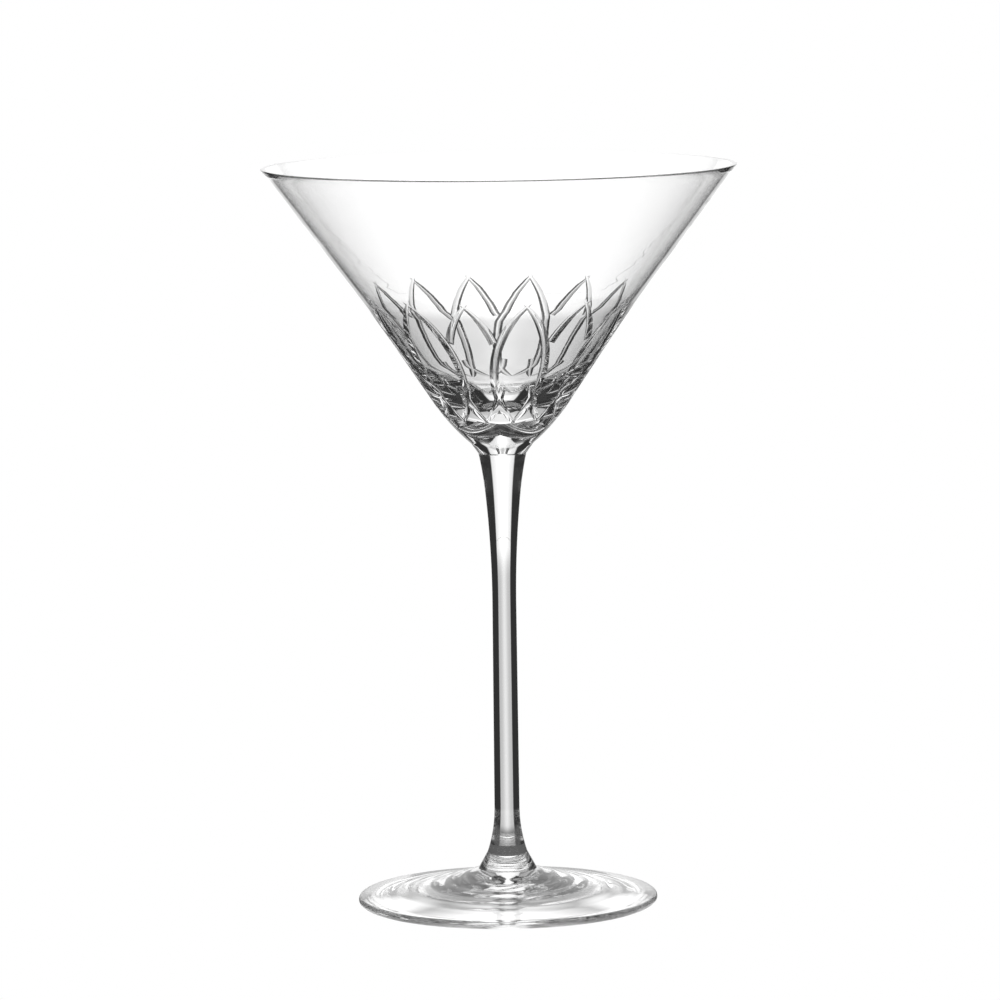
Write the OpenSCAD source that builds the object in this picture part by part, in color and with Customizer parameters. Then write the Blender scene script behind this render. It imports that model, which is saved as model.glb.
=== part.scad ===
// Stemmed cocktail glass in cut crystal: a conical bowl with a ring of mitre-cut petals,
// a drawn stem and a pressed foot, fused together at two joints.
// Every dimension is in millimetres. The glass stands on the plane z = 0, on the axis z.

/* [Overall] */
// Height from the table to the top of the rim
total_h = 185; // [180:0.5:192]
// Outside diameter of the rim
rim_d = 118; // [114:0.5:122]
// Diameter of the foot
foot_d = 75; // [70:0.2:82]

/* [Bowl] */
// Wall thickness at the rim and down the upper wall
wall_t = 1.15; // [1:0.05:1.5]
// Radius of the two rounded corners of the rim
lip_round_r = 0.2; // [0.15:0.05:0.4]
// Height at which the wall changes from the lower to the upper slope
flare_h = 150; // [147:0.5:152]
// Outside diameter at that height
flare_d = 65.8; // [65:0.2:67]
// Height at which the straight wall turns in towards the base
belly_h = 126; // [125:0.5:127]
// Outside diameter at that height
belly_d = 33.6; // [33:0.2:34.4]
// Radius of the round under the belly
belly_round_r = 50; // [46:1:56]
// Height of the lowest point inside the bowl
cavity_bottom_h = 125.2; // [124.6:0.2:126.4]
// How much higher than for a plain round bottom the wall begins to thicken
cavity_lead_h = 2.5; // [0.5:0.1:5]
// Radius of the round bottom inside
cavity_round_r = 15; // [12:0.5:17]
// Height of the small fillet that leads into the stem
neck_h = 2.5; // [2:0.1:3]

/* [Petal cuts] */
// Number of petals around the bowl, whole and half hidden ones together
petal_count = 14; // [12:2:16]
// Height of the upper tips
petal_tip_h = 152.4; // [150:0.2:156]
// Height of the lower tips
petal_low_h = 122.8; // [121:0.2:124]
// Half the width of a petal, as an angle about the axis
petal_half_angle = 14.8; // [13.4:0.1:15.6]
// Angle about the axis by which the first whole petal is turned from +X
petal_turn = 23.6; // [-25:0.1:25]
// Depth of a cut at the middle of its length
cut_depth = 0.5; // [0.3:0.05:0.7]
// Width of a cut at the middle of its length
cut_w = 1.9; // [1.4:0.1:2.4]

/* [Stem] */
// Height of the joint between the bowl and the stem
bowl_joint_h = 113.4; // [112.6:0.2:114.4]
// Diameter of that joint
bowl_joint_d = 12; // [11.6:0.2:12.6]
// Diameter of the stem at its thinnest
stem_d = 6; // [5.6:0.05:6.4]
// Height at which the upper flare of the stem begins
stem_flare_top_h = 76; // [70:1:82]
// Height at which the upper flare begins to widen faster
stem_swell_h = 102.8; // [100:0.2:105]
// Diameter of the stem at that height
stem_swell_d = 8.7; // [8.4:0.1:9]
// Height at which the lower flare of the stem begins
stem_flare_low_h = 24; // [22:0.5:28]
// Diameter of the stem at that height
stem_low_d = 6.3; // [6.2:0.05:6.6]

/* [Foot] */
// Height of the joint between the stem and the foot
foot_joint_h = 12.8; // [12.2:0.1:13.4]
// Diameter of that joint
foot_joint_d = 9.9; // [9.4:0.1:10.6]
// Diameter where the short neck of the foot meets the disc
disc_neck_d = 14.6; // [13.8:0.2:15.4]
// Height where the short neck of the foot meets the disc
disc_neck_h = 8.5; // [8:0.1:9]
// Thickness of the rounded edge of the foot
edge_t = 2; // [1.8:0.1:2.4]
// How far the top of the disc sags below a straight slope
disc_sag = 0.75; // [0.4:0.05:1]
// Height of the hollow under the foot, at its centre
kick_h = 5; // [4:0.1:5.4]
// Width of the flat ring that the foot rests on
rest_ring_w = 3.2; // [2:0.2:5]

/* [Hidden] */
$fn = 144;
flare_fn = 720;
overlap = 1;

// Bowl: the rim is flat on top with two rounded corners, and the wall is tangent to both of them.
lip = [rim_d / 2 - lip_round_r, total_h - lip_round_r];
flare = [flare_d / 2, flare_h];
belly = [belly_d / 2, belly_h];
lip_from_flare = lip - flare;
wall_angle = atan2(lip_from_flare.x, lip_from_flare.y) + asin(lip_round_r / norm(lip_from_flare));
wall_up = [sin(wall_angle), cos(wall_angle)];
wall_out = [cos(wall_angle), -sin(wall_angle)];
lip_outer = lip + lip_round_r * wall_out;
lip_in = lip - [(wall_t - 2 * lip_round_r) / cos(wall_angle), 0];
lip_inner = lip_in - lip_round_r * wall_out;

// Bowl: the round under the belly is tangent to the lower wall.
low_wall_angle = atan2(flare.x - belly.x, flare.y - belly.y);
belly_centre = belly - belly_round_r * [cos(low_wall_angle), -sin(low_wall_angle)];
bowl_joint_r = bowl_joint_d / 2;
neck_top_h = bowl_joint_h + neck_h;
neck_top_r = belly_centre.x + sqrt(pow(belly_round_r, 2) - pow(belly_centre.y - neck_top_h, 2));

// Bowl: the inner wall turns into a curve, and the curve into a round bottom, tangent where they meet.
wall_lean = sin(wall_angle);
plain_round_r = (lip_inner * wall_out + cavity_bottom_h * wall_lean) / (1 - wall_lean);
cavity_turn_h = cavity_bottom_h + plain_round_r * (1 - wall_lean) + cavity_lead_h;
cavity_turn = [lip_inner.x - (lip_inner.y - cavity_turn_h) * tan(wall_angle), cavity_turn_h];
cavity_centre = [0, cavity_bottom_h + cavity_round_r];
turn_gap = cavity_turn - cavity_centre;
curve_r = (turn_gap * turn_gap - pow(cavity_round_r, 2)) / (2 * (turn_gap * wall_out - cavity_round_r));
curve_centre = cavity_turn - curve_r * wall_out;
cavity_tangent = cavity_centre + cavity_round_r * unit(cavity_centre - curve_centre);
cavity_top = lip_inner + wall_up * overlap;

// Petals: each edge is an arc through the two tips and the widest point, where the cut is deepest.
petal_pitch = 360 / petal_count;
petal_mid_h = (petal_tip_h + petal_low_h) / 2;
edge_tip = point_on_bowl(0, petal_tip_h, 0);
edge_low = point_on_bowl(0, petal_low_h, 0);
edge_mid = point_on_bowl(petal_half_angle, petal_mid_h, cut_depth);
edge_normal = unit(cross(edge_tip - edge_mid, edge_low - edge_mid));
edge_centre = arc_centre(edge_tip, edge_mid, edge_low);
edge_r = norm(edge_mid - edge_centre);
edge_tilt = acos(edge_normal.z);
edge_turn = atan2(edge_normal.y, edge_normal.x);
edge_run_out = 4;
cutter_h = 1.6;
cutter_half_w = cutter_h * cut_w / 2 / cut_depth;

// Petals: a half hidden petal shows only where it is narrower than half the pitch.
half_arc = arc_angle(edge_tip, edge_mid) / 2 + arc_angle(edge_low, edge_mid) / 2;
shown_share = petal_pitch / 2 / petal_half_angle;
hidden_half_arc = acos(cos(half_arc) + shown_share * (1 - cos(half_arc)));

// Stem: a drawn rod with a flare at each end. The upper flare is two arcs, tangent where they meet.
stem_side = [stem_d / 2, stem_flare_top_h];
stem_swell = [stem_swell_d / 2, stem_swell_h];
stem_low = [stem_low_d / 2, stem_flare_low_h];
stem_top = [bowl_joint_r, bowl_joint_h];
foot_joint = [foot_joint_d / 2, foot_joint_h];
swell_angle = 2 * atan2(stem_swell.x - stem_side.x, stem_swell.y - stem_side.y);

// Foot: a disc with a sagging top, a rounded edge and a shallow hollow underneath.
edge_r_foot = edge_t / 2;
edge_centre_foot = [foot_d / 2 - edge_r_foot, edge_r_foot];
disc_neck = [disc_neck_d / 2, disc_neck_h];
disc_edge = [edge_centre_foot.x, edge_t];
disc_top = arc_by_sag(disc_neck, disc_edge, disc_sag);
hollow_rim_r = foot_d / 2 - edge_r_foot - rest_ring_w;
hollow_r = (pow(hollow_rim_r, 2) + pow(kick_h, 2)) / (2 * kick_h);

function unit(v) = v / norm(v);

// Radius of the outside of the bowl at height z
function outer_r(z) =
    z > flare.y ? flare.x + (z - flare.y) * tan(wall_angle)
    : z > belly.y ? belly.x + (z - belly.y) * tan(low_wall_angle)
    : belly_centre.x + sqrt(pow(belly_round_r, 2) - pow(belly_centre.y - z, 2));

// Point at an angle about the axis and a height, sunk below the outside of the bowl
function point_on_bowl(angle, z, sunk) =
    let (r = outer_r(z) - sunk * cos(low_wall_angle))
    [r * cos(angle), r * sin(angle), z + sunk * sin(low_wall_angle)];

// Centre of the circle through three points in space
function arc_centre(a, b, c) =
    let (u = a - c, v = b - c, w = cross(u, v))
    c + cross(u * u * v - v * v * u, w) / (2 * (w * w));

// Angle between two points of the petal edge, seen from the centre of its arc
function arc_angle(a, b) =
    let (u = unit(a - edge_centre), v = unit(b - edge_centre))
    acos(u * v);

// Circle through a and b whose arc sags below the chord: [centre, radius]
function arc_by_sag(a, b, sag) =
    let (
        chord = norm(b - a),
        r = pow(chord, 2) / (8 * sag) + sag / 2,
        up = [a.y - b.y, b.x - a.x] / chord
    )
    [(a + b) / 2 + up * (r - sag), r];

// Angle of a point of the petal edge in the turned frame of the cutter
function cutter_angle(p) =
    let (
        d = p - edge_centre,
        x_axis = [cos(edge_tilt) * cos(edge_turn), cos(edge_tilt) * sin(edge_turn), -sin(edge_tilt)],
        y_axis = [-sin(edge_turn), cos(edge_turn), 0]
    )
    atan2(d * y_axis, d * x_axis);

module bowl_solid_profile() {
    polygon([[0, belly.y], belly, flare, lip_outer, lip_inner, [0, lip_inner.y]]);
    intersection() {
        translate(belly_centre) circle(r = belly_round_r);
        polygon([[0, neck_top_h], [neck_top_r, neck_top_h], belly + [overlap, 0], belly, [0, belly.y]]);
    }
    polygon([[0, bowl_joint_h], [bowl_joint_r, bowl_joint_h], [neck_top_r, neck_top_h], [0, neck_top_h]]);
}

module cavity_profile() {
    polygon([[0, cavity_turn.y], cavity_turn, cavity_top, [0, cavity_top.y]]);
    intersection() {
        translate(curve_centre) circle(r = curve_r, $fn = flare_fn);
        translate([0, cavity_tangent.y]) square([cavity_turn.x + overlap, cavity_turn.y - cavity_tangent.y]);
    }
    intersection() {
        translate(cavity_centre) circle(r = cavity_round_r);
        translate([0, cavity_bottom_h - overlap])
            square([cavity_round_r, cavity_tangent.y - cavity_bottom_h + overlap]);
    }
}

// V-shaped ring segment whose sharp edge follows the edge of a petal between two angles of its arc.
module edge_cutter(from_arc, to_arc) {
    translate(edge_centre)
        rotate([0, edge_tilt, edge_turn])
            rotate([0, 0, cutter_angle(edge_mid) + from_arc])
                rotate_extrude(angle = to_arc - from_arc)
                    translate([edge_r, 0])
                        polygon([[0, 0], [cutter_half_w, cutter_h], [-cutter_half_w, cutter_h]]);
}

module whole_edge() {
    edge_cutter(-half_arc - edge_run_out, half_arc + edge_run_out);
}

module half_hidden_edge() {
    edge_cutter(-half_arc - edge_run_out, -hidden_half_arc);
    edge_cutter(hidden_half_arc, half_arc + edge_run_out);
}

module petal_cuts() {
    for (i = [0 : 2 : petal_count - 1])
        rotate([0, 0, petal_turn + i * petal_pitch]) {
            whole_edge();
            mirror([0, 1, 0]) whole_edge();
        }
    for (i = [1 : 2 : petal_count - 1])
        rotate([0, 0, petal_turn + i * petal_pitch]) {
            half_hidden_edge();
            mirror([0, 1, 0]) half_hidden_edge();
        }
}

module bowl() {
    color([0.86, 0.9, 0.92, 0.45])
        difference() {
            rotate_extrude() {
                difference() {
                    bowl_solid_profile();
                    cavity_profile();
                }
                polygon([lip_outer, lip + lip_round_r * [0, 1], lip_in + lip_round_r * [0, 1], lip_inner]);
                translate(lip) circle(r = lip_round_r);
                translate(lip_in) circle(r = lip_round_r);
            }
            petal_cuts();
        }
}

// Circle that passes through two points of the stem's side, which leans out by an angle at the first
module flare_round(from, to, lean) {
    chord = to - from;
    inward = [cos(lean), -sin(lean)];
    round_r = chord * chord / (2 * (chord * inward));
    translate(from + round_r * inward) circle(r = round_r, $fn = flare_fn);
}

module stem() {
    color([0.8, 0.86, 0.9, 0.6])
        rotate_extrude()
            difference() {
                polygon([
                    [0, foot_joint.y],
                    foot_joint,
                    [foot_joint.x, stem_low.y],
                    stem_low,
                    stem_side,
                    [stem_top.x, stem_side.y],
                    stem_top,
                    [0, stem_top.y]
                ]);
                intersection() {
                    flare_round(stem_side, stem_swell, 0);
                    square([stem_top.x + overlap, stem_swell.y]);
                }
                flare_round(stem_swell, stem_top, swell_angle);
                flare_round(stem_low, foot_joint, 0);
            }
}

module foot() {
    color([0.84, 0.88, 0.9, 0.5])
        rotate_extrude() {
            difference() {
                polygon([
                    [0, 0],
                    [edge_centre_foot.x, 0],
                    disc_edge,
                    disc_neck,
                    foot_joint,
                    [0, foot_joint.y]
                ]);
                intersection() {
                    translate(disc_top[0]) circle(r = disc_top[1], $fn = flare_fn);
                    translate([disc_neck.x, 0]) square([foot_d, disc_neck.y + overlap]);
                }
                translate([0, kick_h - hollow_r]) circle(r = hollow_r, $fn = flare_fn);
            }
            translate(edge_centre_foot) circle(r = edge_r_foot);
        }
}

bowl();
stem();
foot();
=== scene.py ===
"""The looks of a stemmed cocktail glass in clear cut crystal: bowl, stem and foot.

The glass is worked out in millimetres, as in the CAD model, and scaled to metres at the end. The materials,
the camera and the stage are in metres.
"""

import math

import bmesh
import bpy
from mathutils import Matrix, Vector


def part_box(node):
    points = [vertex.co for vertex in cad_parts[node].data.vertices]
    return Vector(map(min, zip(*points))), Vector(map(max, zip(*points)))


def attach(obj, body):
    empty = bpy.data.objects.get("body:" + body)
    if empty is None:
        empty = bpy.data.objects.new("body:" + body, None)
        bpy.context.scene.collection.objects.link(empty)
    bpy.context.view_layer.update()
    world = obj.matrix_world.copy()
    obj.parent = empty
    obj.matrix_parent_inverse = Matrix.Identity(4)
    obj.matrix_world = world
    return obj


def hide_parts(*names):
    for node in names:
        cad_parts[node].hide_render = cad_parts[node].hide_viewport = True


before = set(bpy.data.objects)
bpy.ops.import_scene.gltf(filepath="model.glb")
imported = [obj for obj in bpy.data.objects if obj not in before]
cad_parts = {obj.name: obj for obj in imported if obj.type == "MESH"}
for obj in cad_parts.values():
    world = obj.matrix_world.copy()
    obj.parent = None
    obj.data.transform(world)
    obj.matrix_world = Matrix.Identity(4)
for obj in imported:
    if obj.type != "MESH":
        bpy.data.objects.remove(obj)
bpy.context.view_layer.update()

MM = 0.001


# ---------------------------------------------------------------- sizes of the glass, in mm

# Names end in H for a height, R for a radius, T for a thickness and W for a width.
# A point is a radius and a height.
bowl_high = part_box("bowl")[1] / MM
stem_low, stem_high = (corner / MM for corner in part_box("stem"))
foot_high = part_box("foot")[1] / MM

TOTAL_H = bowl_high.z
RIM_R = bowl_high.x
BOWL_JOINT_H = stem_high.z
BOWL_JOINT_R = stem_high.x
FOOT_JOINT_H = stem_low.z
FOOT_R = foot_high.x

# Bowl: outside, an arc up from the neck to BELLY, a steep wall up to FLARE and a wider cone from there to
# the rim; inside, CAVITY_LEAD_H is how much higher than for a plain round bottom the wall begins to thicken
WALL_T = 1.15
LIP_ROUND_R = 0.2
FLARE = Vector((32.9, 150.0))
BELLY = Vector((16.8, 126.0))
BELLY_ROUND_R = 50.0
CAVITY_BOTTOM_H = 125.2
CAVITY_LEAD_H = 2.5
CAVITY_ROUND_R = 15.0
NECK_H = 2.5

# Petals: the slips are how unevenly the cutter placed them
PETAL_COUNT = 14
PETAL_TIP_H = 153.3
PETAL_LOW_H = 122.8
PETAL_HALF_ANGLE = math.radians(14.8)
PETAL_TURN = math.radians(23.6)
TIP_SLIP = 0.9
TURN_SLIP = math.radians(1.2)

# Cuts along the edges of the petals
TIP_DEPTH = 0.15
CUT_DEPTH = 0.65
CUT_SLOPE = 0.75
CUT_ROUND = 0.25
CUT_FACETS = 12
CUT_MIN_STEPS = 10
CUT_STEPS_PER_DEGREE = 0.6
CUTTER_HALF_W = 2.0
CUTTER_H = 1.0
RUN_OUT = math.radians(4.0)

# Stem
STEM_R = 3.0
STEM_LOW_R = 3.15
FLARE_TOP_H = 76.0
FLARE_SWELL_H = 102.8
FLARE_SWELL_R = 4.34
FLARE_LOW_H = 24.0

# Foot
FOOT_JOINT_R = 4.95
DISC_NECK = Vector((7.3, 8.5))
EDGE_R = 1.0
DISC_SAG = 0.75
KICK_H = 5.0
REST_RING_W = 3.2
RING_IN_R = FOOT_R - EDGE_R - REST_RING_W
HOLLOW_R = (RING_IN_R ** 2 + KICK_H ** 2) / (2 * KICK_H)

# Ripples on the foot: they wander from round by a share of their pitch and swell by a share of their height
RIPPLE_H = 0.07
RIPPLE_PITCH = 4.2
RIPPLE_FADE = 4.0
RIPPLE_OFF_CENTRE = 0.4
RIPPLE_OVAL = 0.25
RIPPLE_SWELL = 0.3
UNDERSIDE_GAP = 0.2

# Meshes
SEGMENTS = 336
STEM_SEGMENTS = 192
SHARP_ANGLE = math.radians(30)
WELD_GAP = 0.001
HEIGHT_GAP = 0.001
TINY = 1e-6

# Material slots of each piece, after slot 0 for its own surface
CUT_SLOT = 1
JOINT_SLOT = 2


def smooth_step(value, low, high):
    """0 up to low, 1 from high on, and a smooth rise between them."""
    t = min(1.0, max(0.0, (value - low) / (high - low)))
    return t * t * (3 - 2 * t)


# ---------------------------------------------------------------- profiles

def line(a, b, steps):
    """Points from a towards b, without b."""
    return [a.lerp(b, i / steps) for i in range(steps)]


def arc(centre, radius, start, end, steps):
    """Points on an arc between two angles, without the last one."""
    turn = (end - start) / steps
    angles = [start + turn * i for i in range(steps)]
    return [centre + radius * Vector((math.cos(t), math.sin(t))) for t in angles]


def angle_from(centre, point):
    return math.atan2(point.y - centre.y, point.x - centre.x)


class BowlShape:
    """The two walls of the bowl: lines and arcs that are tangent where they meet."""

    def __init__(self):
        # Rim, with a rounded corner on each side of a narrow flat
        self.lip = Vector((RIM_R - LIP_ROUND_R, TOTAL_H - LIP_ROUND_R))
        rise = self.lip - FLARE
        self.wall_angle = math.atan2(rise.x, rise.y) + math.asin(LIP_ROUND_R / rise.length)
        out = Vector((math.cos(self.wall_angle), -math.sin(self.wall_angle)))
        self.lip_outer = self.lip + LIP_ROUND_R * out
        lip_w = (WALL_T - 2 * LIP_ROUND_R) / math.cos(self.wall_angle)
        self.lip_in = self.lip - Vector((lip_w, 0))
        self.lip_inner = self.lip_in - LIP_ROUND_R * out

        # Outside, below the flare
        self.low_angle = math.atan2(FLARE.x - BELLY.x, FLARE.y - BELLY.y)
        low_out = Vector((math.cos(self.low_angle), -math.sin(self.low_angle)))
        self.belly_centre = BELLY - BELLY_ROUND_R * low_out
        neck_top_h = BOWL_JOINT_H + NECK_H
        self.neck_top = Vector((self.outer_r(neck_top_h), neck_top_h))

        # Inside: a straight wall down to the turn, a long curve that thickens it, and a round bottom
        lean = math.sin(self.wall_angle)
        plain_r = (self.lip_inner.dot(out) + CAVITY_BOTTOM_H * lean) / (1 - lean)
        turn_h = CAVITY_BOTTOM_H + plain_r * (1 - lean) + CAVITY_LEAD_H
        turn_x = self.lip_inner.x - (self.lip_inner.y - turn_h) * math.tan(self.wall_angle)
        self.turn = Vector((turn_x, turn_h))
        self.round_centre = Vector((0, CAVITY_BOTTOM_H + CAVITY_ROUND_R))
        gap = self.turn - self.round_centre
        curve_fit = 2 * (gap.dot(out) - CAVITY_ROUND_R)
        self.curve_r = (gap.length_squared - CAVITY_ROUND_R ** 2) / curve_fit
        self.curve_centre = self.turn - self.curve_r * out

    def outer_r(self, z):
        if z > FLARE.y:
            return FLARE.x + (z - FLARE.y) * math.tan(self.wall_angle)
        if z > BELLY.y:
            return BELLY.x + (z - BELLY.y) * math.tan(self.low_angle)
        return self.belly_centre.x + math.sqrt(BELLY_ROUND_R ** 2 - (self.belly_centre.y - z) ** 2)

    def point(self, angle, z, sunk):
        """Point at an angle about the axis, sunk below the outside."""
        r = self.outer_r(z) - sunk * math.cos(self.low_angle)
        return Vector((r * math.cos(angle), r * math.sin(angle), z + sunk * math.sin(self.low_angle)))

    def profile(self):
        """Points from the axis at the joint, up the outside, over the lip and down to the axis."""
        joint = Vector((BOWL_JOINT_R, BOWL_JOINT_H))
        centre = Vector((0, BOWL_JOINT_H))
        up = Vector((0, LIP_ROUND_R))
        low_t = angle_from(self.belly_centre, self.neck_top)
        high_t = angle_from(self.belly_centre, BELLY)
        end_t = angle_from(self.curve_centre, self.round_centre)
        points = line(centre, joint, steps=6)
        points += line(joint, self.neck_top, steps=5)
        points += arc(self.belly_centre, BELLY_ROUND_R, low_t, high_t, steps=16)
        points += line(BELLY, FLARE, steps=26)
        points += line(FLARE, self.lip_outer, steps=22)
        points += arc(self.lip, LIP_ROUND_R, -self.wall_angle, math.pi / 2, steps=12)
        points += line(self.lip + up, self.lip_in + up, steps=2)
        points += arc(self.lip_in, LIP_ROUND_R, math.pi / 2, math.pi - self.wall_angle, steps=8)
        points += line(self.lip_inner, self.turn, steps=24)
        points += arc(self.curve_centre, self.curve_r, -self.wall_angle, end_t, steps=28)
        points += arc(self.round_centre, CAVITY_ROUND_R, end_t, -math.pi / 2, steps=16)
        points.append(Vector((0, CAVITY_BOTTOM_H)))
        return points


def flare(start, end, slope, steps):
    """Arc from start to end that leaves start with a given slope (growth over rise)."""
    chord = end - start
    sign = math.copysign(1, chord.y)
    tangent = Vector((slope, 1.0)).normalized() * sign
    side = Vector((abs(tangent.y), -tangent.x * sign))
    radius = chord.length_squared / (2 * chord.dot(side))
    centre = start + side * radius
    from_t = angle_from(centre, start) % (2 * math.pi)
    to_t = angle_from(centre, end) % (2 * math.pi)
    return arc(centre, radius, from_t, to_t, steps)


def stem_profile():
    """Points from the axis at the lower joint, up the outside and back to the axis at the upper joint."""
    top_joint = Vector((BOWL_JOINT_R, BOWL_JOINT_H))
    low_joint = Vector((FOOT_JOINT_R, FOOT_JOINT_H))
    low = Vector((STEM_LOW_R, FLARE_LOW_H))
    top = Vector((STEM_R, FLARE_TOP_H))
    swell = Vector((FLARE_SWELL_R, FLARE_SWELL_H))
    swell_slope = 2 * (swell.x - top.x) / (swell.y - top.y)
    points = line(Vector((0, FOOT_JOINT_H)), low_joint, steps=6)
    points += [low_joint] + flare(low, low_joint, slope=0.0, steps=24)[:0:-1]
    points += line(low, top, steps=20)
    points += flare(top, swell, slope=0.0, steps=20)
    points += flare(swell, top_joint, swell_slope, steps=16)
    points += line(top_joint, Vector((0, BOWL_JOINT_H)), steps=6)
    points.append(Vector((0, BOWL_JOINT_H)))
    return points


def hollow_h(r):
    """Height of the hollow under the foot."""
    return KICK_H - HOLLOW_R + math.sqrt(HOLLOW_R ** 2 - r ** 2) if r < RING_IN_R else 0.0


def foot_profile():
    """Points from the top of the hollow, over the resting ring and the edge, up the disc and to the axis."""
    edge_centre = Vector((FOOT_R - EDGE_R, EDGE_R))
    ring_in = Vector((RING_IN_R, 0))
    hollow_centre = Vector((0, KICK_H - HOLLOW_R))
    disc_edge = Vector((edge_centre.x, 2 * EDGE_R))
    chord = disc_edge - DISC_NECK
    round_r = chord.length ** 2 / (8 * DISC_SAG) + DISC_SAG / 2
    up = Vector((-chord.y, chord.x)) / chord.length
    round_centre = (DISC_NECK + disc_edge) / 2 + up * (round_r - DISC_SAG)
    edge_t = angle_from(round_centre, disc_edge)
    neck_t = angle_from(round_centre, DISC_NECK)
    top_joint = Vector((FOOT_JOINT_R, FOOT_JOINT_H))
    points = arc(hollow_centre, HOLLOW_R, math.pi / 2, angle_from(hollow_centre, ring_in), steps=60)
    points += line(ring_in, Vector((edge_centre.x, 0)), steps=3)
    points += arc(edge_centre, EDGE_R, -math.pi / 2, math.pi / 2, steps=18)
    points += arc(round_centre, round_r, edge_t, neck_t, steps=60)
    points += line(DISC_NECK, top_joint, steps=10)
    points += line(top_joint, Vector((0, FOOT_JOINT_H)), steps=6)
    points.append(Vector((0, FOOT_JOINT_H)))
    return points


# ---------------------------------------------------------------- mesh work

def new_object(name, data):
    thing = bpy.data.objects.new(name, data)
    bpy.context.scene.collection.objects.link(thing)
    return thing


def mesh_object(name, mesh):
    """Object from a bmesh, which it frees."""
    bmesh.ops.recalc_face_normals(mesh, faces=mesh.faces)
    data = bpy.data.meshes.new(name)
    mesh.to_mesh(data)
    mesh.free()
    return new_object(name, data)


def set_materials(piece, materials):
    for material in materials:
        piece.data.materials.append(material)


def revolve(name, profile, segments, joint_heights):
    """Closed solid of revolution. Flat faces at the joint heights get the joint's material."""
    mesh = bmesh.new()
    turn = 2 * math.pi / segments
    rings = []
    for point in profile:
        if abs(point.x) < TINY:
            rings.append([mesh.verts.new((0, 0, point.y))])
            continue
        ring = []
        for k in range(segments):
            angle = turn * k
            ring.append(mesh.verts.new((point.x * math.cos(angle), point.x * math.sin(angle), point.y)))
        rings.append(ring)
    for a, b in zip(rings, rings[1:]):
        for k in range(segments):
            corners = [a[k % len(a)], a[(k + 1) % len(a)], b[(k + 1) % len(b)], b[k % len(b)]]
            corners = list(dict.fromkeys(corners))
            face = mesh.faces.new(corners)
            height = corners[0].co.z
            flat = all(abs(corner.co.z - height) < TINY for corner in corners)
            if flat and any(abs(height - joint_h) < HEIGHT_GAP for joint_h in joint_heights):
                face.material_index = JOINT_SLOT
    return mesh_object(name, mesh)


def circle_through(a, b, c):
    """Centre and radius of the circle through three points in space."""
    u = a - c
    v = b - c
    w = u.cross(v)
    centre = c + (u.length_squared * v - v.length_squared * u).cross(w) / (2 * w.length_squared)
    return centre, (a - centre).length


class PetalEdge:
    """The arc of one petal edge, through its two tips and its widest point."""

    def __init__(self, shape, tip_h):
        tip = shape.point(0, tip_h, TIP_DEPTH)
        low = shape.point(0, PETAL_LOW_H, TIP_DEPTH)
        mid = shape.point(PETAL_HALF_ANGLE, (tip_h + PETAL_LOW_H) / 2, CUT_DEPTH)
        self.centre, self.radius = circle_through(tip, mid, low)
        self.normal = (tip - mid).cross(low - mid).normalized()
        self.x_axis = (mid - self.centre).normalized()
        self.y_axis = self.normal.cross(self.x_axis)
        to_tip = (tip - self.centre).angle(mid - self.centre)
        to_low = (low - self.centre).angle(mid - self.centre)
        self.half_arc = (to_tip + to_low) / 2

        # The edge of a half-hidden petal is cut only outside this arc: inside it, its neighbours cover it
        shown = math.pi / PETAL_COUNT / PETAL_HALF_ANGLE
        cos_half = math.cos(self.half_arc)
        self.hidden_half_arc = math.acos(cos_half + shown * (1 - cos_half))

    def section(self, t):
        """The edge of the cutting wheel at one angle of the arc, and the two corners above it."""
        radial = self.x_axis * math.cos(t) + self.y_axis * math.sin(t)
        apex = self.centre + radial * self.radius
        corners = []
        for i in range(CUT_FACETS + 1):
            share = 2 * i / CUT_FACETS - 1
            across = CUTTER_HALF_W * share * abs(share)
            up = math.hypot(across * CUT_SLOPE, CUT_ROUND) - CUT_ROUND
            corners.append(apex + radial * across + self.normal * up)
        return corners + [corners[-1] + self.normal * CUTTER_H, corners[0] + self.normal * CUTTER_H]


def add_cutter(mesh, edge, from_arc, to_arc, turn, mirrored):
    """Sweeps the wheel's section along part of a petal edge, turned about the axis of the glass."""
    steps = max(CUT_MIN_STEPS, round(math.degrees(to_arc - from_arc) * CUT_STEPS_PER_DEGREE))
    place = Matrix.Rotation(turn, 3, "Z")
    if mirrored:
        place = place @ Matrix.Diagonal((1, -1, 1))
    sections = []
    for i in range(steps + 1):
        corners = edge.section(from_arc + (to_arc - from_arc) * i / steps)
        sections.append([mesh.verts.new(place @ corner) for corner in corners])
    count = len(sections[0])
    for a, b in zip(sections, sections[1:]):
        for k in range(count):
            mesh.faces.new([a[k], a[(k + 1) % count], b[(k + 1) % count], b[k]])
    mesh.faces.new(sections[0])
    mesh.faces.new(sections[-1][::-1])


def cutter_object(name, shape, first, mirrored):
    """The cutters for one side of every second petal. Petals towards +Y reach a little higher."""
    mesh = bmesh.new()
    pitch = 2 * math.pi / PETAL_COUNT
    for i in range(first, PETAL_COUNT, 2):
        turn = PETAL_TURN + i * pitch
        turn += TURN_SLIP * (1 + math.sin(turn))
        edge = PetalEdge(shape, PETAL_TIP_H + TIP_SLIP * math.sin(turn))
        end = edge.half_arc + RUN_OUT
        hidden = edge.hidden_half_arc
        spans = [(-end, -hidden), (hidden, end)] if first else [(-end, end)]
        for from_arc, to_arc in spans:
            add_cutter(mesh, edge, from_arc, to_arc, turn, mirrored)
    for face in mesh.faces:
        face.material_index = CUT_SLOT
    return mesh_object(name, mesh)


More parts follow.
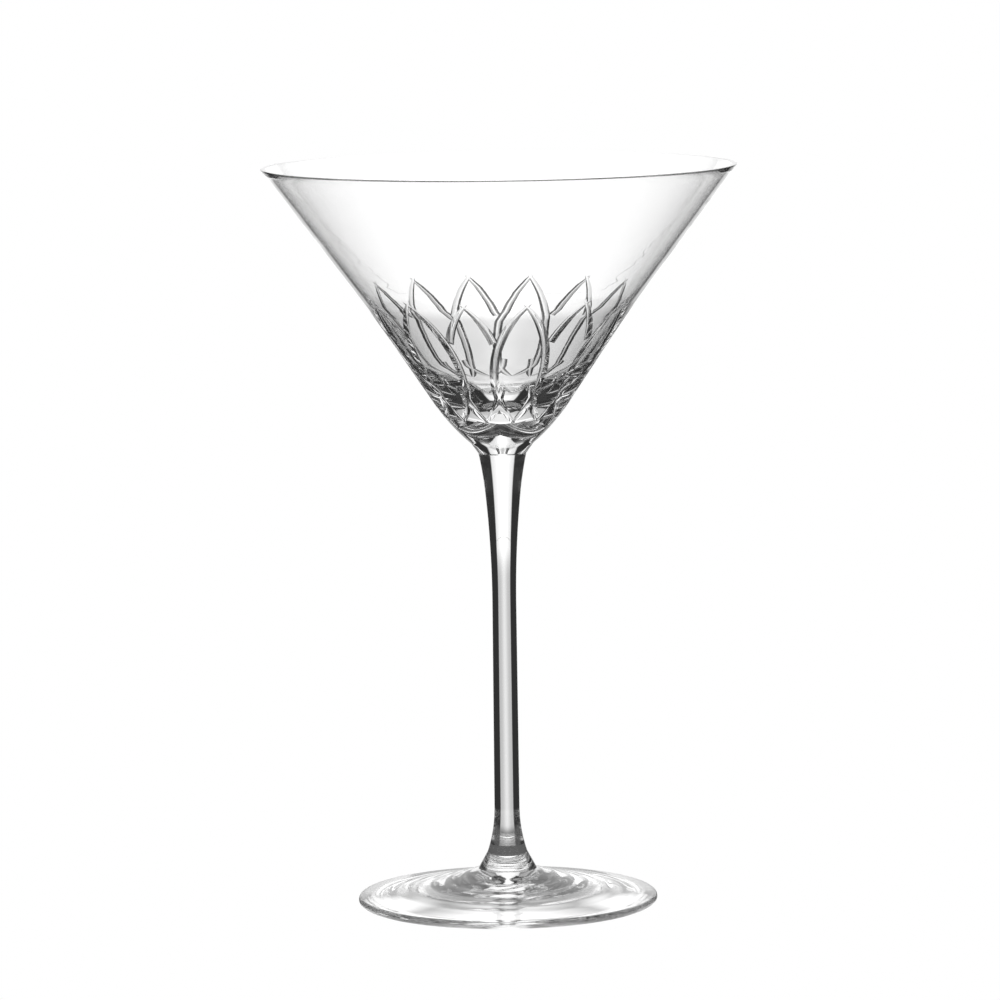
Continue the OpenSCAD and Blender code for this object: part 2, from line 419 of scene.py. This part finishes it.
def cut_petals(bowl, shape, materials):
    """Cuts the whole petals and then the half-hidden ones, one side at a time."""
    cutters = []
    for first in (0, 1):
        for mirrored in (False, True):
            cutter = cutter_object(f"cutter_{first}_{mirrored}", shape, first, mirrored)
            set_materials(cutter, materials)
            cutters.append(cutter)
            cut = bowl.modifiers.new(cutter.name, "BOOLEAN")
            cut.operation = "DIFFERENCE"
            cut.solver = "MANIFOLD"
            cut.object = cutter
            cut.material_mode = "INDEX"
    bpy.context.view_layer.update()
    evaluated = bowl.evaluated_get(bpy.context.evaluated_depsgraph_get())
    cut_mesh = bpy.data.meshes.new_from_object(evaluated)
    bowl.modifiers.clear()
    bowl.data = cut_mesh
    for cutter in cutters:
        bpy.data.objects.remove(cutter)


def finish_mesh(piece):
    """Smooth shading apart from real edges, and millimetres to metres."""
    data = piece.data
    mesh = bmesh.new()
    mesh.from_mesh(data)
    bmesh.ops.remove_doubles(mesh, verts=mesh.verts, dist=WELD_GAP)
    bmesh.ops.dissolve_degenerate(mesh, edges=mesh.edges, dist=WELD_GAP)
    for face in mesh.faces:
        face.smooth = True
    for edge in mesh.edges:
        gentle = len(edge.link_faces) == 2 and edge.calc_face_angle(0) < SHARP_ANGLE
        kinds = {face.material_index for face in edge.link_faces}
        edge.smooth = gentle and len(kinds) == 1
    mesh.to_mesh(data)
    mesh.free()
    data.transform(Matrix.Scale(MM, 4))
    data.update()


# ---------------------------------------------------------------- materials

CRYSTAL_IOR = 1.53
WAVE_DETAIL = 2.0

# Seeds are tiny bubbles: how many there are per metre, and their radius as a share of the space for each
SEED_SCALE = 160.0
SEED_R = 0.07

# Heights of the waves, from 0 to 1, between which the polish goes from perfect to a material's roughness
POLISHED_BELOW = 0.4
DULL_ABOVE = 0.7

# Where the seam of a joint starts, as a share of its radius, and how much light passes at its edge
SEAM_START = 0.93
SEAM_TINT = 0.7


def new_material(name):
    material = bpy.data.materials.new(name)
    material.use_nodes = True
    nodes = material.node_tree.nodes
    nodes.clear()
    output = nodes.new("ShaderNodeOutputMaterial")
    return material, nodes, material.node_tree.links, output


def glass(name, roughness, waves, wave_h, seeds_h):
    """Clear crystal whose surface is faintly wavy and pitted, and a little less polished in places.

    Waves is how many there are per metre along x, y and z. The heights are in metres.
    """
    material, nodes, links, output = new_material(name)
    place = nodes.new("ShaderNodeNewGeometry")
    stretch = nodes.new("ShaderNodeVectorMath")
    stretch.operation = "MULTIPLY"
    stretch.inputs[1].default_value = waves
    links.new(place.outputs["Position"], stretch.inputs[0])
    wave = nodes.new("ShaderNodeTexNoise")
    wave.inputs["Scale"].default_value = 1.0
    wave.inputs["Detail"].default_value = WAVE_DETAIL
    links.new(stretch.outputs["Vector"], wave.inputs["Vector"])
    seeds = nodes.new("ShaderNodeTexVoronoi")
    seeds.inputs["Scale"].default_value = SEED_SCALE
    links.new(place.outputs["Position"], seeds.inputs["Vector"])
    pit = nodes.new("ShaderNodeMapRange")
    pit.interpolation_type = "SMOOTHSTEP"
    pit.inputs["From Max"].default_value = SEED_R
    links.new(seeds.outputs["Distance"], pit.inputs["Value"])
    pitted = nodes.new("ShaderNodeBump")
    pitted.inputs["Distance"].default_value = seeds_h
    links.new(pit.outputs["Result"], pitted.inputs["Height"])
    wavy = nodes.new("ShaderNodeBump")
    wavy.inputs["Distance"].default_value = wave_h
    links.new(wave.outputs["Fac"], wavy.inputs["Height"])
    links.new(pitted.outputs["Normal"], wavy.inputs["Normal"])
    polish = nodes.new("ShaderNodeMapRange")
    polish.inputs["From Min"].default_value = POLISHED_BELOW
    polish.inputs["From Max"].default_value = DULL_ABOVE
    polish.inputs["To Max"].default_value = roughness
    links.new(wave.outputs["Fac"], polish.inputs["Value"])
    shader = nodes.new("ShaderNodeBsdfPrincipled")
    shader.inputs["Base Color"].default_value = (1, 1, 1, 1)
    shader.inputs["IOR"].default_value = CRYSTAL_IOR
    shader.inputs["Transmission Weight"].default_value = 1.0
    links.new(wavy.outputs["Normal"], shader.inputs["Normal"])
    links.new(polish.outputs["Result"], shader.inputs["Roughness"])
    links.new(shader.outputs["BSDF"], output.inputs["Surface"])
    return material


def joint_material(name, radius):
    """The hot-fused joint: light passes straight through, but for a faint seam round its edge."""
    material, nodes, links, output = new_material(name)
    place = nodes.new("ShaderNodeNewGeometry")
    split = nodes.new("ShaderNodeSeparateXYZ")
    links.new(place.outputs["Position"], split.inputs["Vector"])
    flat = nodes.new("ShaderNodeCombineXYZ")
    links.new(split.outputs["X"], flat.inputs["X"])
    links.new(split.outputs["Y"], flat.inputs["Y"])
    length = nodes.new("ShaderNodeVectorMath")
    length.operation = "LENGTH"
    links.new(flat.outputs["Vector"], length.inputs[0])
    seam = nodes.new("ShaderNodeMapRange")
    seam.inputs["From Min"].default_value = radius * SEAM_START
    seam.inputs["From Max"].default_value = radius
    seam.inputs["To Min"].default_value = 1.0
    seam.inputs["To Max"].default_value = SEAM_TINT
    links.new(length.outputs["Value"], seam.inputs["Value"])
    shader = nodes.new("ShaderNodeBsdfTransparent")
    links.new(seam.outputs["Result"], shader.inputs["Color"])
    links.new(shader.outputs["BSDF"], output.inputs["Surface"])
    return material


BLOWN = glass("blown_crystal", roughness=0.01, waves=(50, 50, 140), wave_h=4e-5, seeds_h=1e-6)
CUT = glass("cut_crystal", roughness=0.03, waves=(700, 700, 700), wave_h=1.2e-5, seeds_h=0.0)
DRAWN = glass("drawn_crystal", roughness=0.01, waves=(500, 500, 12), wave_h=2e-6, seeds_h=1e-6)
PRESSED = glass("pressed_crystal", roughness=0.01, waves=(90, 90, 90), wave_h=4e-5, seeds_h=1e-6)
BOWL_JOINT = joint_material("bowl_joint", BOWL_JOINT_R * MM)
FOOT_JOINT = joint_material("foot_joint", FOOT_JOINT_R * MM)


# ---------------------------------------------------------------- pieces

def add_piece(node, piece):
    """Puts a finished piece in the place of its CAD node."""
    finish_mesh(piece)
    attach(piece, "root")
    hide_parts(node)


def build_bowl():
    shape = BowlShape()
    bowl = revolve("cut_bowl", shape.profile(), SEGMENTS, [BOWL_JOINT_H])
    materials = [BLOWN, CUT, BOWL_JOINT]
    set_materials(bowl, materials)
    cut_petals(bowl, shape, materials)
    add_piece("bowl", bowl)


def build_stem():
    stem = revolve("drawn_stem", stem_profile(), STEM_SEGMENTS, [BOWL_JOINT_H, FOOT_JOINT_H])
    set_materials(stem, [DRAWN, CUT, BOWL_JOINT])
    add_piece("stem", stem)


def ripple(r, angle, under):
    """Height of the rings left by the turning tool, which differ on the two sides of the disc."""
    inner = smooth_step(r, DISC_NECK.x, DISC_NECK.x + RIPPLE_FADE)
    outer = 1 - smooth_step(r, RING_IN_R - RIPPLE_FADE, RING_IN_R)
    wander = RIPPLE_OFF_CENTRE * math.sin(angle + under)
    wander += RIPPLE_OVAL * math.sin(2 * angle + 3 * under)
    swell = 1 - RIPPLE_SWELL + RIPPLE_SWELL * math.sin(3 * angle)
    return RIPPLE_H * inner * outer * swell * math.sin(2 * math.pi * (r / RIPPLE_PITCH + wander))


def add_ripples(foot):
    """Faint rings, a little out of round, on both sides of the disc below its neck."""
    for vertex in foot.data.vertices:
        if vertex.co.z > DISC_NECK.y - HEIGHT_GAP:
            continue
        r = math.hypot(vertex.co.x, vertex.co.y)
        angle = math.atan2(vertex.co.y, vertex.co.x)
        under = vertex.co.z < hollow_h(r) + UNDERSIDE_GAP
        vertex.co.z += ripple(r, angle, under)


def build_foot():
    foot = revolve("pressed_foot", foot_profile(), SEGMENTS, [FOOT_JOINT_H])
    add_ripples(foot)
    set_materials(foot, [PRESSED, CUT, FOOT_JOINT])
    add_piece("foot", foot)


build_bowl()
build_stem()
build_foot()


# ---------------------------------------------------------------- camera

CAMERA_PLACE = Vector((0, -1.4, 0.272))
CAMERA_TILT = math.radians(6.943)
CAMERA_ROLL = math.radians(0.75)
CAMERA_SHIFT_X = -0.003
CAMERA_REACH = 50.0
LENS_MM = 203.6
SENSOR_MM = 36.0


def add_camera():
    """Looks level along +Y, then down by the tilt and turned by the roll."""
    data = bpy.data.cameras.new("camera")
    data.lens = LENS_MM
    data.sensor_width = SENSOR_MM
    data.clip_end = CAMERA_REACH
    data.shift_x = CAMERA_SHIFT_X
    camera = new_object("camera", data)
    camera.location = CAMERA_PLACE
    camera.rotation_mode = "QUATERNION"
    look = Matrix.Rotation(math.pi / 2 - CAMERA_TILT, 3, "X") @ Matrix.Rotation(-CAMERA_ROLL, 3, "Z")
    camera.rotation_quaternion = look.to_quaternion()
    bpy.context.scene.camera = camera
    return camera


# ---------------------------------------------------------------- stage

# Light of the room where nothing is lit
DARK = 0.03

# Light of the card behind the glass (BACK) and of the table between the two (FLOOR): in the middle and at
# the side, and, in degrees, how wide the bright middle is, where the card ends and how soft its edge is
BACK_LIGHT = 1.3
BACK_SIDE = 0.8
BACK_GLOW = 16.0
BACK_HALF_ANGLE = 22.5
FLOOR_LIGHT = 0.88
FLOOR_SIDE = 0.56
FLOOR_GLOW = 9.0
FLOOR_HALF_ANGLE = 21.5
CARD_SOFTNESS = 3.0

# Light of the table at the glass, and the distances over which it rises and then blends into the card
FLOOR_NEAR = 0.12
FLOOR_NEAR_R = 0.036
FLOOR_FAR_R = 0.06
FLOOR_BLEND = Vector((0.7, 1.3))

# Pools of light on the table, close to the foot
POOL_LIGHT = 1.2
POOL_SOFT = 0.5
POOL_FRONT = Vector((0, -0.046))
POOL_FRONT_R = Vector((0.03, 0.028))
POOL_SIDE = Vector((0.032, -0.012))
POOL_SIDE_R = Vector((0.012, 0.012))

# Ring of weak light round the room, between two soft edges at these heights
ROOM_LIGHT = 0.3
ROOM_LOW = Vector((0.5, 0.7))
ROOM_HIGH = Vector((1.1, 1.3))

# Sheets of the stage
TENT_R = 1.5
FLOOR_Z = -0.0005
BACKDROP_REACH = 3.0
STAGE_COLUMNS = 361
TENT_ROWS = 61
TABLE_ROWS = 121

# Light has to pass many walls of glass
BOUNCES = 256
CLEAR_BOUNCES = 32


def card_light(azimuth, far):
    """Light of the white card behind the glass, at an angle in degrees from straight behind.

    Far is 0 on the table close to the glass and 1 on the card itself.
    """
    peak = FLOOR_LIGHT + (BACK_LIGHT - FLOOR_LIGHT) * far
    side = FLOOR_SIDE + (BACK_SIDE - FLOOR_SIDE) * far
    width = FLOOR_GLOW + (BACK_GLOW - FLOOR_GLOW) * far
    edge = FLOOR_HALF_ANGLE + (BACK_HALF_ANGLE - FLOOR_HALF_ANGLE) * far
    glow = side + (peak - side) * math.exp(-(azimuth / width) ** 2)
    half = CARD_SOFTNESS / 2
    return glow + (DARK - glow) * smooth_step(abs(azimuth), edge - half, edge + half)


def tent_light(point):
    """The card, and a ring of weak light above it all round the room."""
    ring_share = smooth_step(point.z, *ROOM_LOW) * (1 - smooth_step(point.z, *ROOM_HIGH))
    azimuth = math.degrees(math.atan2(point.x, point.y))
    return max(card_light(azimuth, 1.0), ROOM_LIGHT * ring_share)


def pool_share(x, y, centre, size):
    """1 in the middle of an elliptical pool of light on the table and 0 outside it."""
    reach = math.hypot((x - centre.x) / size.x, (y - centre.y) / size.y)
    return 1 - smooth_step(reach, 1 - POOL_SOFT, 1 + POOL_SOFT)


def table_light(point):
    """The table: dim close to the glass but for three pools of light, and like the card far from it."""
    azimuth = math.degrees(math.atan2(point.x, point.y))
    reach = math.hypot(point.x, point.y)
    far = card_light(azimuth, smooth_step(reach, *FLOOR_BLEND))
    light = FLOOR_NEAR + (far - FLOOR_NEAR) * smooth_step(reach, FLOOR_NEAR_R, FLOOR_FAR_R)
    front = pool_share(point.x, point.y, POOL_FRONT, POOL_FRONT_R)
    side = pool_share(abs(point.x), point.y, POOL_SIDE, POOL_SIDE_R)
    return light + (POOL_LIGHT - light) * max(front, side)


def white_light(point):
    return 1.0


def stage_material(name):
    """Glows as brightly as the sheet's light attribute says."""
    material, nodes, links, output = new_material(name)
    light = nodes.new("ShaderNodeAttribute")
    light.attribute_name = "light"
    shader = nodes.new("ShaderNodeEmission")
    links.new(light.outputs["Fac"], shader.inputs["Color"])
    links.new(shader.outputs["Emission"], output.inputs["Surface"])
    return material


STAGE_LIGHT = stage_material("stage_light")


def sheet_object(name, points, faces, light, camera_only):
    """A sheet of the stage, lit by a formula of its points, which only the camera or only the glass sees."""
    data = bpy.data.meshes.new(name)
    data.from_pydata(points, [], faces)
    layer = data.attributes.new("light", "FLOAT", "POINT")
    for value, point in zip(layer.data, points):
        value.value = light(point)
    data.materials.append(STAGE_LIGHT)
    sheet = new_object(name, data)
    sheet.visible_camera = camera_only
    for ray in ("diffuse", "glossy", "transmission", "volume_scatter", "shadow"):
        setattr(sheet, "visible_" + ray, not camera_only)
    return sheet


def ring_points(radius, height):
    """A closed ring about the glass, whose first and last points are the same one, straight behind it."""
    points = []
    for k in range(STAGE_COLUMNS):
        azimuth = 2 * math.pi * k / (STAGE_COLUMNS - 1)
        points.append(Vector((radius * math.sin(azimuth), radius * math.cos(azimuth), height)))
    return points


def ring_faces(rows):
    """Faces between the rings of points."""
    faces = []
    for i in range(rows - 1):
        for k in range(STAGE_COLUMNS - 1):
            low = i * STAGE_COLUMNS + k
            high = low + STAGE_COLUMNS
            faces.append((low, low + 1, high + 1, high))
    return faces


def build_tent():
    """A dome of light round the glass: the card behind it and the ring of weak light."""
    points = []
    for i in range(TENT_ROWS):
        elevation = math.pi / 2 * i / (TENT_ROWS - 1)
        points += ring_points(TENT_R * math.cos(elevation), TENT_R * math.sin(elevation))
    return sheet_object("light_tent", points, ring_faces(TENT_ROWS), tent_light, camera_only=False)


def build_table():
    """The lit table, with rings that lie closer together near the foot."""
    points = []
    for i in range(TABLE_ROWS):
        reach = TENT_R * (i / (TABLE_ROWS - 1)) ** 2
        points += ring_points(reach, FLOOR_Z)
    return sheet_object("lit_table", points, ring_faces(TABLE_ROWS), table_light, camera_only=False)


def build_white_room():
    """The plain white floor and backdrop that the camera sees."""
    near_left = Vector((-BACKDROP_REACH, -BACKDROP_REACH, FLOOR_Z))
    near_right = Vector((BACKDROP_REACH, -BACKDROP_REACH, FLOOR_Z))
    far_right = Vector((BACKDROP_REACH, BACKDROP_REACH, FLOOR_Z))
    far_left = Vector((-BACKDROP_REACH, BACKDROP_REACH, FLOOR_Z))
    up = Vector((0, 0, BACKDROP_REACH - FLOOR_Z))
    floor_corners = [near_left, near_right, far_right, far_left]
    back_corners = [far_left, far_right, far_right + up, far_left + up]
    floor = sheet_object("floor", floor_corners, [(0, 1, 2, 3)], white_light, camera_only=True)
    back = sheet_object("backdrop", back_corners, [(0, 1, 2, 3)], white_light, camera_only=True)
    return [floor, back]


def add_turntable(camera, sheets):
    """Turns the stage about the glass, so that it faces the camera from every side."""
    turntable = new_object("stage_turntable", None)
    follow = turntable.constraints.new("LOCKED_TRACK")
    follow.target = camera
    follow.track_axis = "TRACK_NEGATIVE_Y"
    follow.lock_axis = "LOCK_Z"
    for sheet in sheets:
        sheet.parent = turntable


def darken_world():
    world = bpy.data.worlds.new("room")
    world.use_nodes = True
    world.node_tree.nodes["Background"].inputs["Color"].default_value = (DARK, DARK, DARK, 1)
    bpy.context.scene.world = world


camera = add_camera()
add_turntable(camera, [build_tent(), build_table()] + build_white_room())
darken_world()

scene = bpy.context.scene
scene.view_settings.view_transform = "Standard"
scene.cycles.max_bounces = BOUNCES
scene.cycles.transmission_bounces = BOUNCES
scene.cycles.glossy_bounces = BOUNCES
scene.cycles.transparent_max_bounces = CLEAR_BOUNCES
